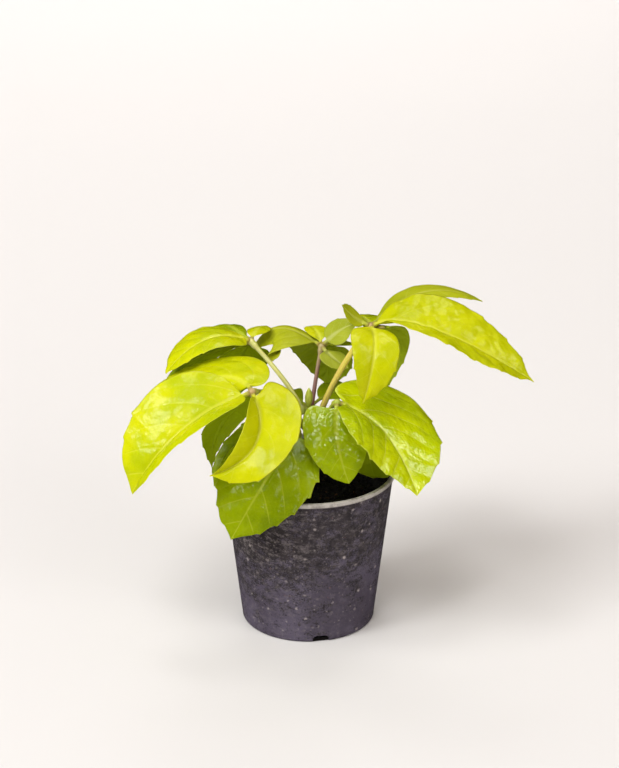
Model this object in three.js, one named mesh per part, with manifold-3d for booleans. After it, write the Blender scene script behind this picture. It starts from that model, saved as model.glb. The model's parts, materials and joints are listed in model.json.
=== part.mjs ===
// A young umbrella plant in a tapered nursery pot, in millimetres, with +Z up.
// The origin is the centre of the pot's underside, and -Y is the plant's front.
import * as THREE from 'three';
import { mergeVertices } from 'three/addons/utils/BufferGeometryUtils.js';
import Module from 'manifold-3d';

// Pot
const potHeight = 97;
const rimRadius = 52.5;
const baseRadius = 40.3;
const wall = 1.4;
const floorThickness = 1.6;
const lipHeight = 3;
const lipStandOut = 0.9;
const baseCorner = 1.8;
const notchCount = 3;
const notchWidth = 10;
const notchHeight = 4.4;
const notchReach = 6;
const firstNotchTurn = 11;
const drainHoleCount = 6;
const drainHoleRadius = 3;
const drainRingRadius = 22;

// Soil and stem
const fitGap = 0.3;
const headspace = 12;
const soilCrown = 1.5;
const stemFoot = 62;
const stemTop = 137;
const stemFootRadius = 3.4;
const stemTopRadius = 2.4;
const budLength = 12;
const budRadius = 2.2;

// Leaves
const petioleSides = 8;
const petioleSteps = 9;
const footRadius = 2.6;
const stalkHalfWidth = 0.6;
const stalkHalfDepth = 0.55;
const bladeHalfDepth = 0.4;
const tipHalfWidth = 0.5;
const stalkLength = 5;
const bladeRows = [0, 0.04, 0.12, 0.22, 0.34, 0.46, 0.58, 0.7, 0.81, 0.91, 1];

const colours = {
  pot: 0x5c565f,
  soil: 0x120c0a,
  stem: 0x8f9a2c,
  bud: 0xc3cc52,
  petiole: 0xb5bd3a,
  purple: 0x7b5056,
  yellow: 0xd8dc10,
  lime: 0xc4d012,
  green: 0x9bb414,
  mid: 0x7f9c10,
  olive: 0xa3ab24,
  dark: 0x46620c,
};

// Each leaf has a hub where its petiole ends and its leaflets spread like fingers.
// A leaflet's midrib arcs from the hub through over to tip. face is the compass
// heading, in degrees from +X, that its upper side leans along, and sway turns it
// by the tip. roll lifts the right half, fold lifts both halves, and curl bends
// the margins. base and point shape the outline: low is blunt, high is slender.
// lobeLeft and lobeRight sweep the foot of that half back past the stalk, in mm.
const leaves = [
  {
    name: 'upper_left',
    hub: [-34, 14, 173],
    knob: 2.2,
    petiole: { foot: 133, turn: 150, over: [-14, 6, 151], radius: 1.5, colour: 'petiole' },
    leaflets: [
      {
        over: [-60, 3, 179], tip: [-84, -7, 161], width: 35.5, face: 195, roll: 2, fold: 10, curl: -30,
        base: 0.28, baseRight: 0.47, point: 0.57, skew: 0.21, colour: 'yellow',
      },
      { over: [-51, 38, 175], tip: [-63, 55, 160], width: 22, fold: -15, base: 0.9, colour: 'mid' },
      { over: [-31, 30, 175], tip: [-25, 46, 171], width: 14, fold: -15, base: 1, colour: 'lime' },
      {
        over: [-42, 26, 155], tip: [-42, 24, 134], width: 36, face: 110, fold: -15, base: 0.35, lobeLeft: 4,
        colour: 'dark',
      },
      { over: [-64, 8, 166], tip: [-84, 4, 154], width: 20, fold: -10, base: 1.2, colour: 'dark' },
    ],
  },
  {
    name: 'front_left',
    hub: [-32, -50, 167],
    knob: 2.6,
    petiole: { foot: 126, turn: 238, over: [-18, -25, 153], radius: 1.6, colour: 'petiole' },
    leaflets: [
      {
        over: [-71.5, -70.5, 152.5], tip: [-100.5, -74.5, 114.5], width: 52.5, face: 192, roll: 16.5,
        fold: 32.5, curl: -15, base: 0.43, baseRight: 0.51, point: 0.7, skew: 0.2, stalk: 7, colour: 'lime',
      },
      {
        over: [-54, -29, 168], tip: [-98.5, -35, 153], width: 58, face: 125.5, sway: 42, roll: 28, fold: -12,
        curl: -15, base: 0.9, baseRight: 0.61, point: 0.92, lobeRight: 5, stalk: 6, colour: 'lime',
      },
      {
        over: [-29.5, -84.5, 150], tip: [-55.5, -84.5, 130], width: 36.5, face: 259, sway: -17.5, roll: 31.5,
        fold: 38, curl: -15, base: 0.47, baseRight: 0.71, point: 1.1, skew: -0.31, lobeLeft: 15.5,
        colour: 'yellow',
      },
      {
        over: [-52, -34.5, 137.5], tip: [-56, -34.5, 110.5], width: 27.5, face: 111.5, roll: 6, fold: -15,
        base: 0.85, baseRight: 0.56, point: 1.5, skew: -0.15, colour: 'dark',
      },
    ],
  },
  {
    name: 'rim',
    hub: [-6, -14, 127],
    knob: 2,
    petiole: { foot: 105, turn: 250, over: [-4, -10, 116], radius: 1.4, colour: 'petiole' },
    leaflets: [
      {
        over: [-24, -48, 112], tip: [-45, -60, 78], width: 57, face: 262, roll: 4, fold: -5, curl: -10,
        point: 0.8, skew: 0.08, colour: 'mid',
      },
      { over: [-30, -15, 121], tip: [-56, -22, 95], width: 26, face: 250, base: 0.9, colour: 'dark' },
      { over: [-24, 4, 116], tip: [-55, 0, 100], width: 34, face: 200, roll: 30, colour: 'dark' },
    ],
  },
  {
    name: 'front_right',
    hub: [17, -22, 149],
    knob: 2.2,
    petiole: { foot: 114, turn: 310, over: [11, -14, 138], radius: 1.5, colour: 'petiole' },
    leaflets: [
      {
        over: [17, -39, 132], tip: [24, -45, 107], width: 39, face: 275, fold: -5, base: 0.34,
        baseRight: 0.25, point: 0.7, lobeRight: 4, colour: 'green',
      },
      {
        over: [44.5, -29, 133], tip: [63.5, -54, 104], width: 66, face: -6.5, sway: -57.5, roll: -1.5, fold: 13,
        curl: -15, base: 0.57, baseRight: 0.54, point: 1, skew: -0.15, lobeLeft: 12.5, lobeRight: 9,
        colour: 'green',
      },
      { over: [33, -12, 117], tip: [55, -12, 100], width: 31, face: -40, roll: -20, base: 0.9, colour: 'dark' },
    ],
  },
  {
    name: 'upper_right',
    hub: [37, 0, 188],
    knob: 2.5,
    petiole: { foot: 123, turn: 5, over: [18, 2, 157], radius: 1.9, colour: 'petiole' },
    leaflets: [
      {
        over: [71.5, -11, 191.5], tip: [132, -20.5, 161.5], width: 45, face: -19.5, roll: -9, fold: 22.5,
        curl: -15, base: 0.55, baseRight: 1.22, point: 0.94, skew: -0.17, colour: 'yellow',
      },
      {
        over: [69, 31, 198.5], tip: [105, 38, 190], width: 22, face: 17.5, roll: -5.5, fold: -10,
        base: 0.98, point: 0.75, skew: -0.2, colour: 'olive',
      },
      {
        over: [38.5, -24.5, 180.5], tip: [32, -30, 151.5], width: 29, face: 271.5, roll: 6, fold: 16, curl: -20,
        base: 0.55, baseRight: 0.28, point: 0.9, colour: 'yellow',
      },
      { over: [27, -2.5, 195], tip: [20, -6, 204], width: 13, face: 190, roll: 30, base: 0.6, colour: 'olive' },
      { over: [33, 18, 187], tip: [26, 34, 182], width: 18, colour: 'green' },
      {
        over: [49, 13, 174], tip: [45, 12, 141.5], width: 31, face: 60, roll: 4, fold: 4, base: 0.25,
        baseRight: 0.1, point: 1, lobeRight: 8, colour: 'dark',
      },
    ],
  },
  {
    name: 'back',
    hub: [8, 24, 166],
    knob: 2,
    petiole: { foot: 127, turn: 75, over: [5, 16, 151], radius: 1.3, colour: 'purple' },
    leaflets: [
      {
        over: [-19, 41.5, 171], tip: [-35, 32, 156.5], width: 50, face: 180, roll: -1, fold: -8, curl: -20,
        base: 0.82, baseRight: 0.44, point: 0.97, skew: -0.24, colour: 'olive',
      },
      {
        over: [13, 36.5, 158], tip: [11, 42, 135], width: 40.5, face: 74.5, base: 0.25, baseRight: 0.67,
        point: 0.73, skew: -0.3, colour: 'mid',
      },
      { over: [20, 27, 176], tip: [30, 28, 179], width: 20, face: 50, colour: 'bud' },
      { over: [15, 16, 162], tip: [24, 12, 157], width: 20, colour: 'bud' },
      { over: [18, 31, 166], tip: [29, 38, 162], width: 14, colour: 'green' },
      { over: [5, 40, 170], tip: [0, 53, 168], width: 13, base: 0.9, colour: 'lime' },
    ],
  },
  {
    name: 'low_back',
    hub: [0, 18, 128],
    knob: 1.9,
    petiole: { foot: 104, turn: 100, over: [-1, 12, 117], radius: 1.3, colour: 'petiole' },
    leaflets: [
      { over: [-14, 34, 131], tip: [-26, 44, 116], width: 30, base: 1.3, colour: 'dark' },
      { over: [21, 34, 134], tip: [39, 45, 121], width: 32, base: 0.7, stalk: 10, colour: 'dark' },
    ],
  },
];

const wasm = await Module();
wasm.setup();

function bare(geometry) {
  const copy = geometry.index ? geometry.toNonIndexed() : geometry.clone();
  copy.deleteAttribute('normal');
  copy.deleteAttribute('uv');
  return mergeVertices(copy, 1e-4);
}

function toSolid(geometry, matrix = new THREE.Matrix4()) {
  const merged = bare(geometry).applyMatrix4(matrix);
  return new wasm.Manifold(new wasm.Mesh({
    numProp: 3,
    vertProperties: new Float32Array(merged.attributes.position.array),
    triVerts: new Uint32Array(merged.index.array),
  }));
}

function toGeometry(solid) {
  const mesh = solid.getMesh();
  const geometry = new THREE.BufferGeometry();
  geometry.setAttribute('position', new THREE.BufferAttribute(mesh.vertProperties, mesh.numProp));
  geometry.setIndex(new THREE.BufferAttribute(mesh.triVerts, 1));
  geometry.computeVertexNormals();
  return geometry;
}

function named(name, geometry, colour, roughness) {
  const material = new THREE.MeshStandardMaterial({ color: colours[colour], roughness, metalness: 0 });
  const mesh = new THREE.Mesh(geometry, material);
  mesh.name = name;
  return mesh;
}

function lathe(points, segments) {
  return new THREE.LatheGeometry(points.map(([r, z]) => new THREE.Vector2(r, z)), segments).rotateX(Math.PI / 2);
}

function vector(point) {
  return new THREE.Vector3(...point);
}

// A quadratic arc that passes through its middle point half-way along.
function arc(start, over, end) {
  const control = over.clone().multiplyScalar(2).sub(start.clone().add(end).multiplyScalar(0.5));
  return new THREE.QuadraticBezierCurve3(start, control, end);
}

// Outside radius of the pot's straight tapered wall at a height.
function wallRadius(height) {
  const underLip = rimRadius - lipStandOut;
  return THREE.MathUtils.mapLinear(height, baseCorner, potHeight, baseRadius, underLip);
}

function makePot() {
  const underLip = potHeight - lipHeight;
  const outside = [
    [0, 0],
    [baseRadius - baseCorner, 0],
    [baseRadius - baseCorner * 0.3, baseCorner * 0.3],
    [baseRadius, baseCorner],
    [wallRadius(underLip), underLip],
    [rimRadius, underLip + 0.6],
    [rimRadius, potHeight - 0.6],
    [rimRadius - 0.6, potHeight],
  ];
  const inside = [
    [rimRadius - lipStandOut - wall, potHeight],
    [baseRadius - wall, baseCorner],
    [baseRadius - baseCorner, floorThickness],
    [0, floorThickness],
  ];
  let pot = toSolid(lathe([...outside, ...inside], 48));
  const arch = new THREE.Shape();
  arch.moveTo(-notchWidth / 2, -1);
  arch.lineTo(notchWidth / 2, -1);
  arch.lineTo(notchWidth / 2, notchHeight * 0.4);
  arch.quadraticCurveTo(notchWidth / 2, notchHeight, notchWidth * 0.2, notchHeight);
  arch.lineTo(-notchWidth * 0.2, notchHeight);
  arch.quadraticCurveTo(-notchWidth / 2, notchHeight, -notchWidth / 2, notchHeight * 0.4);
  const notch = new THREE.ExtrudeGeometry(arch, { depth: notchReach + 2, bevelEnabled: false, curveSegments: 4 });
  notch.rotateX(Math.PI / 2).translate(0, -(baseRadius - notchReach), 0);
  for (let i = 0; i < notchCount; i += 1) {
    const turn = THREE.MathUtils.degToRad(firstNotchTurn + (360 / notchCount) * i);
    pot = pot.subtract(toSolid(notch, new THREE.Matrix4().makeRotationZ(turn)));
  }
  const drill = new THREE.CylinderGeometry(drainHoleRadius, drainHoleRadius, floorThickness * 4, 12).rotateX(Math.PI / 2);
  for (let i = 0; i < drainHoleCount; i += 1) {
    const turn = (Math.PI * 2 * i) / drainHoleCount;
    const place = new THREE.Matrix4().makeTranslation(drainRingRadius * Math.cos(turn), drainRingRadius * Math.sin(turn), 0);
    pot = pot.subtract(toSolid(drill, place));
  }
  return named('pot', toGeometry(pot), 'pot', 0.62);
}

// The soil fills the pot, with a socket for the buried foot of the stem.
function makeSoil() {
  const top = potHeight - headspace;
  const innerRadius = (height) => wallRadius(height) - wall - fitGap;
  const socket = stemFootRadius + fitGap;
  const profile = [
    [0, floorThickness + fitGap],
    [baseRadius - baseCorner - fitGap, floorThickness + fitGap],
    [innerRadius(baseCorner + 1), baseCorner + 1],
    [innerRadius(top), top],
    [innerRadius(top) * 0.6, top + soilCrown * 0.7],
    [socket, top + soilCrown],
    [socket, stemFoot - fitGap],
    [0, stemFoot - fitGap],
  ];
  return named('potting_soil', lathe(profile, 40), 'soil', 0.95);
}

function makeStem() {
  const profile = [
    [0, stemFoot],
    [stemFootRadius, stemFoot],
    [stemFootRadius, potHeight - headspace],
    [(stemFootRadius + stemTopRadius) / 2, 112],
    [stemTopRadius, stemTop],
    [0, stemTop],
  ];
  return named('stem', lathe(profile, 16), 'stem', 0.6);
}

function makeBud() {
  const foot = stemTop + fitGap;
  const profile = [
    [0, foot],
    [budRadius * 0.8, foot],
    [budRadius, foot + budLength * 0.25],
    [budRadius * 0.75, foot + budLength * 0.6],
    [budRadius * 0.25, foot + budLength * 0.92],
    [0, foot + budLength],
  ];
  return named('apex_bud', lathe(profile, 12), 'bud', 0.5);
}

// A petiole leaves the stem from a swollen foot and ends in the hub's knob.
function makePetiole(leaf) {
  const { foot, turn, over, radius, colour } = leaf.petiole;
  const heading = THREE.MathUtils.degToRad(turn);
  const seat = stemTopRadius + 1.6;
  const start = new THREE.Vector3(Math.cos(heading) * seat, Math.sin(heading) * seat, foot);
  const hub = vector(leaf.hub);
  const section = new THREE.Shape().absarc(0, 0, radius, 0, Math.PI * 2);
  const tube = new THREE.ExtrudeGeometry(section, {
    extrudePath: arc(start, vector(over), hub),
    steps: petioleSteps,
    curveSegments: petioleSides / 2,
    bevelEnabled: false,
  });
  const knob = new THREE.SphereGeometry(leaf.knob, 10, 6);
  const swelling = new THREE.SphereGeometry(footRadius, 10, 6).scale(1, 1, 1.3);
  const bore = new THREE.CylinderGeometry(1, 1, 1, 24).rotateX(Math.PI / 2);
  const clear = stemTopRadius + fitGap + (stemTop - foot) * 0.03;
  const stemRoom = new THREE.Matrix4().makeTranslation(0, 0, foot)
    .multiply(new THREE.Matrix4().makeScale(clear, clear, 60));
  const solid = toSolid(tube)
    .add(toSolid(knob, new THREE.Matrix4().makeTranslation(...leaf.hub)))
    .add(toSolid(swelling, new THREE.Matrix4().makeTranslation(start.x, start.y, start.z)))
    .subtract(toSolid(bore, stemRoom));
  return named(`${leaf.name}_petiole`, toGeometry(solid), colour, 0.5);
}

// Half-width of a blade, as a share of its widest half, a share v along it.
function outline(v, base, point) {
  const widest = base / (base + point);
  return (v / widest) ** base * ((1 - v) / (1 - widest)) ** point;
}

// How far a lobed base reaches back beside the stalk, as a share, fading along the blade.
function lobeSweep(v) {
  return (1 - Math.exp(-v / 0.012)) * Math.exp(-5 * v);
}

// A leaflet is a thin closed shell: a lens-shaped section swept along the midrib.
function makeLeaflet(leaf, leaflet, name) {
  const {
    width, sway = 0, roll = 0, fold = 0, curl = 0, base = 0.5, point = 0.8, skew = 0, stalk = stalkLength,
    lobeLeft = 0, lobeRight = 0,
  } = leaflet;
  const baseRight = leaflet.baseRight ?? base;
  const hub = vector(leaf.hub);
  const tip = vector(leaflet.tip);
  const midrib = arc(hub, vector(leaflet.over), tip);
  const length = midrib.getLength();
  const face = leaflet.face ?? THREE.MathUtils.radToDeg(Math.atan2(tip.y - hub.y, tip.x - hub.x));
  const across = [-1, -0.5, 0, 0.5, 1];
  const positions = [];

  const addRow = (along, halfLeft, halfRight, halfDepth, sweep = 0) => {
    const centre = midrib.getPointAt(along);
    const ahead = midrib.getTangentAt(along);
    const heading = THREE.MathUtils.degToRad(face + sway * along);
    const side = new THREE.Vector3(Math.sin(heading), -Math.cos(heading), 0);
    side.addScaledVector(ahead, -side.dot(ahead)).normalize();
    const up = new THREE.Vector3().crossVectors(side, ahead);
    const tilt = THREE.MathUtils.degToRad(roll);
    const right = side.clone().multiplyScalar(Math.cos(tilt)).addScaledVector(up, Math.sin(tilt));
    const normal = up.clone().multiplyScalar(Math.cos(tilt)).addScaledVector(side, -Math.sin(tilt));
    const surface = (t) => {
      const reach = Math.abs(t) * (t > 0 ? halfRight * (1 + skew) : halfLeft * (1 - skew));
      const lift = THREE.MathUtils.degToRad(fold + (curl * Math.abs(t)) / 2);
      const lobe = t > 0 ? lobeRight : lobeLeft;
      return centre.clone()
        .addScaledVector(ahead, -lobe * sweep * t * t)
        .addScaledVector(right, Math.sign(t) * reach * Math.cos(lift))
        .addScaledVector(normal, reach * Math.sin(lift));
    };
    for (const t of across) {
      positions.push(surface(t).addScaledVector(normal, halfDepth * (1 - t * t)));
    }
    for (const t of [0.5, 0, -0.5]) {
      positions.push(surface(t).addScaledVector(normal, -halfDepth * (1 - t * t)));
    }
  };

  const startAt = (leaf.knob + fitGap) / length;
  const bladeAt = stalk / length;
  addRow(startAt, stalkHalfWidth, stalkHalfWidth, stalkHalfDepth);
  for (const v of bladeRows) {
    const least = v < 1 ? stalkHalfWidth : tipHalfWidth;
    const left = Math.max(least, (width / 2) * outline(v, base, point));
    const right = Math.max(least, (width / 2) * outline(v, baseRight, point));
    addRow(bladeAt + (1 - bladeAt) * v, left, right, bladeHalfDepth, lobeSweep(v));
  }

  // Each quad is split along the shorter diagonal of the upper face, above and below.
  const ring = 8;
  const rows = positions.length / ring;
  const index = [];
  for (let row = 0; row < rows - 1; row += 1) {
    for (let i = 0; i < ring; i += 1) {
      const a = row * ring + i;
      const b = row * ring + ((i + 1) % ring);
      const p = row * ring + Math.min(i, ring - 1 - i);
      const forward = positions[p].distanceTo(positions[p + 1 + ring])
        < positions[p + 1].distanceTo(positions[p + ring]);
      if (forward === i < across.length - 1) {
        index.push(a, b, b + ring, a, b + ring, a + ring);
      } else {
        index.push(a, b, a + ring, b, b + ring, a + ring);
      }
    }
  }
  const last = (rows - 1) * ring;
  for (let i = 1; i < ring - 1; i += 1) {
    index.push(0, i + 1, i);
    index.push(last, last + i, last + i + 1);
  }
  const geometry = new THREE.BufferGeometry().setFromPoints(positions);
  geometry.setIndex(index);
  geometry.computeVertexNormals();
  return named(name, geometry, leaflet.colour, 0.45);
}

const plant = new THREE.Group();
plant.add(makePot(), makeSoil(), makeStem(), makeBud());
for (const leaf of leaves) {
  const group = new THREE.Group();
  group.add(makePetiole(leaf));
  leaf.leaflets.forEach((leaflet, i) => {
    group.add(makeLeaflet(leaf, leaflet, `${leaf.name}_leaflet_${i + 1}`));
  });
  plant.add(group);
}

export default plant;
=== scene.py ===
import json
import math
from functools import partial

import bmesh
import bpy
import numpy as np
from mathutils import Matrix, Vector, noise


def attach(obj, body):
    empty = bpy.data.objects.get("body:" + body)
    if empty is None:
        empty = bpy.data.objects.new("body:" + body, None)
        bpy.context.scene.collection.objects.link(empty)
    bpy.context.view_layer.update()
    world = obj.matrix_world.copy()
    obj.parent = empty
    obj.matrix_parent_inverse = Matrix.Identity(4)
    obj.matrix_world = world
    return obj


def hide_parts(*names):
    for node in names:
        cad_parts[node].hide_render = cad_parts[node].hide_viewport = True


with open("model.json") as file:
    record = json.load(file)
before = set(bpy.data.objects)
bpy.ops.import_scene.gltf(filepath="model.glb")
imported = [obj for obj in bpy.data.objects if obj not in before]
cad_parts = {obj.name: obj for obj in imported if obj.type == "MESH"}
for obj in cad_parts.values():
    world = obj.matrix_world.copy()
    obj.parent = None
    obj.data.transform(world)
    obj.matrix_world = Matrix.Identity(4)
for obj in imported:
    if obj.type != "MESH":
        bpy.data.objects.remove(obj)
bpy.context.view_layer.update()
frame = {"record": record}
print("frame loaded")

mm = 0.001
slotOf = {entry["node"]: entry["material_slot"] for entry in frame["record"]["subparts"]}

# settings that many nodes share
soft = {"interpolation_type": "SMOOTHSTEP"}
colours = {"data_type": "RGBA"}
times = {"operation": "MULTIPLY"}


def linear(hexColour):
    # sRGB hex to linear light
    out = []
    for at in (1, 3, 5):
        c = int(hexColour[at:at + 2], 16) / 255
        out.append(c / 12.92 if c <= 0.04045 else ((c + 0.055) / 1.055) ** 2.4)
    return (*out, 1.0)


def addNode(tree, kind, inputs=(), **settings):
    # a node with its settings, a shader's unless its kind says Node; its inputs, in order
    # or by name, are values, nodes or sockets
    node = tree.nodes.new(kind if "Node" in kind else "ShaderNode" + kind)
    for key, value in settings.items():
        setattr(node, key, value)
    for key, value in inputs.items() if isinstance(inputs, dict) else enumerate(inputs):
        if isinstance(value, bpy.types.Node):
            value = next(socket for socket in value.outputs if socket.enabled)
        if isinstance(value, bpy.types.NodeSocket):
            tree.links.new(value, node.inputs[key])
        else:
            node.inputs[key].default_value = value
    return node


def newMaterial(name):
    # an empty material, and addNode for its tree
    material = bpy.data.materials.new(name)
    material.use_nodes = True
    material.node_tree.nodes.clear()
    return material, partial(addNode, material.node_tree)


def toMesh(name, places, faces, material):
    mesh = bpy.data.meshes.new(name)
    mesh.from_pydata([tuple(p) for p in places], [], faces)
    mesh.update()
    mesh.materials.append(material)
    mesh.polygons.foreach_set("use_smooth", [True] * len(mesh.polygons))
    thing = bpy.data.objects.new(name, mesh)
    bpy.context.scene.collection.objects.link(thing)
    return thing


def tubeFaces(rows, ring):
    # the quads of a closed tube, ring points round, and its two caps
    index = np.arange(ring)
    near = np.arange(rows - 1)[:, None] * ring + index
    far = np.arange(rows - 1)[:, None] * ring + np.roll(index, -1)
    quads = np.stack([near, far, far + ring, near + ring], axis=-1).reshape(-1, 4).tolist()
    return quads + [list(range(ring))[::-1], list(range((rows - 1) * ring, rows * ring))]


def paint(thing, key, vectors):
    # one vector for each point, which a material reads
    data = thing.data.attributes.new(key, "FLOAT_VECTOR", "POINT")
    data.data.foreach_set("vector", vectors.astype(np.float32).ravel())


def outward(thing):
    work = bmesh.new()
    work.from_mesh(thing.data)
    bmesh.ops.recalc_face_normals(work, faces=work.faces)
    work.to_mesh(thing.data)
    work.free()


def hand(thing, slotName, *nodes):
    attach(thing, "root")
    if nodes:
        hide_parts(*nodes)


# Camera at the photograph's place: a long lens, a little above the plant.
view = {"place": (0.0008, -1.3482, 0.7056), "pitchDown": 22.34, "lens": 115.2}
camera = bpy.data.objects.new("camera", bpy.data.cameras.new("camera"))
camera.data.lens = view["lens"]
camera.data.sensor_width = 36
camera.location = view["place"]
camera.rotation_euler = (math.radians(90 - view["pitchDown"]), 0, 0)
bpy.context.scene.collection.objects.link(camera)
bpy.context.scene.camera = camera


# The looks of young, grown and shaded leaflets. veins says how clear the veins are, wax
# how strong the gloss is and skin how rough that gloss is. pucker and crinkle are heights
# in mm, and lumps scales the blade's own relief.
leafLooks = {
    "yellow": {
        "blade": "#D8DA00", "patch": "#C4CA00", "vein": "#E6E64A", "under": "#C2C61C", "veins": 0.25,
        "rough": 0.3, "wax": 0.24, "skin": 0.16, "pucker": 0.06, "crinkle": 0.012, "lumps": 0.6,
    },
    "lime": {
        "blade": "#E2E400", "patch": "#C6D200", "vein": "#ECEE50", "under": "#CCD21C", "veins": 0.4,
        "rough": 0.28, "wax": 0.38, "skin": 0.16, "pucker": 0.07, "crinkle": 0.02, "lumps": 0.8,
    },
    "green": {
        "blade": "#DAE400", "patch": "#BACC00", "vein": "#E8EE60", "under": "#AABA1C", "veins": 0.6,
        "rough": 0.22, "wax": 1.0, "skin": 0.09, "pucker": 0.12, "crinkle": 0.05, "lumps": 1.2,
    },
    "glossy": {
        "blade": "#BED200", "patch": "#9CB400", "vein": "#D2DC40", "under": "#B2C228", "veins": 0.6,
        "rough": 0.22, "wax": 1.0, "skin": 0.08, "pucker": 0.12, "crinkle": 0.03, "lumps": 1.3,
    },
    "mid": {
        "blade": "#AEC200", "patch": "#8EA600", "vein": "#CCD63C", "under": "#B2C228", "veins": 0.6,
        "rough": 0.26, "wax": 0.35, "skin": 0.14, "pucker": 0.12, "crinkle": 0.03, "lumps": 1.0,
    },
    "olive": {
        "blade": "#C4CA1C", "patch": "#ACB40C", "vein": "#D4D858", "under": "#828A20", "veins": 0.3,
        "rough": 0.42, "wax": 0.1, "skin": 0.2, "pucker": 0.06, "crinkle": 0.01, "lumps": 0.4,
    },
    "dark": {
        "blade": "#A6B804", "patch": "#8CA202", "vein": "#C0CA40", "under": "#9EB20C", "veins": 0.4,
        "rough": 0.36, "wax": 0.2, "skin": 0.18, "pucker": 0.1, "crinkle": 0.02, "lumps": 0.6,
    },
    "pale": {
        "blade": "#C4CC40", "patch": "#AEB82C", "vein": "#D6DA78", "under": "#AEB648", "veins": 0.3,
        "rough": 0.4, "wax": 0.15, "skin": 0.2, "pucker": 0.05, "crinkle": 0.01, "lumps": 0.4,
    },
}


def leafMaterial(name, look):
    # Living leaf under a waxy skin. The wax gives soft white gloss that breaks over the
    # puckers between the veins; the tissue lets some light through.
    material, add = newMaterial(name)
    place = add("Attribute", attribute_name="leafPlace").outputs["Vector"]
    share = add("Attribute", attribute_name="leafShare").outputs["Vector"]
    across, along, phase = add("SeparateXYZ", (place,)).outputs
    toMargin, toTip, underside = add("SeparateXYZ", (share,)).outputs
    solid = add("TexCoord").outputs["Object"]
    patterns = {"patch": (22, 2), "lump": (2.4, 3), "pore": (0.9, 2), "dull": (5, 3)}  # mm and detail
    noises = {
        key: add("TexNoise", {
            "Vector": solid, "Scale": 1 / (size * mm), "Detail": detail, "Roughness": 0.55,
        }) for key, (size, detail) in patterns.items()
    }

    # veins: the phase is whole on a side vein, and side veins stand 5 mm or more apart
    off = add("Math", (phase, 0.5), operation="PINGPONG")
    sideVein = add("MapRange", (off, 0.008, 0.045, 1, 0), **soft)
    veinFade = add("MapRange", (toMargin, 0.5, 0.95, look["veins"], look["veins"] * 0.2), **soft)
    rib = add("Math", (across,), operation="ABSOLUTE")
    ribWidth = add("MapRange", (toTip, 0, 1, 2.3, 0.4), **soft)
    ribShare = add("Math", (rib, ribWidth), operation="DIVIDE")
    midVein = add("MapRange", (ribShare, 0.3, 1, 1, 0), **soft)
    flat = add("CombineXYZ", (across, along))
    web = add("TexVoronoi", {"Vector": flat, "Scale": 1 / 3.2}, feature="DISTANCE_TO_EDGE")
    webVein = add("MapRange", (web, 0, 0.08, 1, 0), **soft)
    edge = add("MapRange", (toMargin, 0.955, 0.99), **soft)

    patches = add("MapRange", (noises["patch"], 0.35, 0.7), **soft)
    colour = add("Mix", {0: patches, 6: linear(look["blade"]), 7: linear(look["patch"])}, **colours)
    for amount, strength in ((webVein, 0.1), (sideVein, veinFade), (midVein, 0.7), (edge, 0.5)):
        amount = add("Math", (amount, strength), **times)
        colour = add("Mix", {0: amount, 6: colour, 7: linear(look["vein"])}, **colours)
    colour = add("Mix", {0: underside, 6: colour, 7: linear(look["under"])}, **colours)
    # the stalklet is brownish where it meets the hub
    joint = add("MapRange", (toTip, -1, -0.15, 0.85, 0), **soft)
    colour = add("Mix", {0: joint, 6: colour, 7: linear("#B09A56")}, **colours)

    # puckers of 3.6 mm, and the vein net inside them: real nets are finer, but 1.4 mm is
    # the least that shows from a metre away
    puckers, net = (
        add("TexVoronoi", {
            "Vector": flat, "Scale": 1 / size, "Smoothness": ease,
        }, feature="SMOOTH_F1") for size, ease in ((3.6, 0.6), (1.4, 0.4))
    )
    surface = {}
    for height, depth in (
        (puckers, -2.2 * look["pucker"]), (noises["lump"], 1.2 * look["pucker"]),
        (net, -3 * look["crinkle"]), (noises["pore"], 0.012 + look["crinkle"]),
    ):
        surface = {"Normal": add("Bump", {"Height": height, "Distance": depth * mm, **surface})}
    rough = (noises["dull"], 0.3, 0.7, look["rough"] - 0.05, look["rough"] + 0.08)
    body = add("BsdfPrincipled", {
        "Base Color": colour, "Roughness": add("MapRange", rough, **soft), "IOR": 1.45,
        "Specular IOR Level": 0.08 + 0.16 * look["wax"], "Coat Weight": look["wax"],
        "Coat Roughness": look["skin"], "Coat IOR": 1.45, "Coat Normal": surface["Normal"], **surface,
    })
    through = add("BsdfTranslucent", {"Color": colour, **surface})
    add("OutputMaterial", (add("MixShader", (0.32, body, through)),))
    return material


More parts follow.
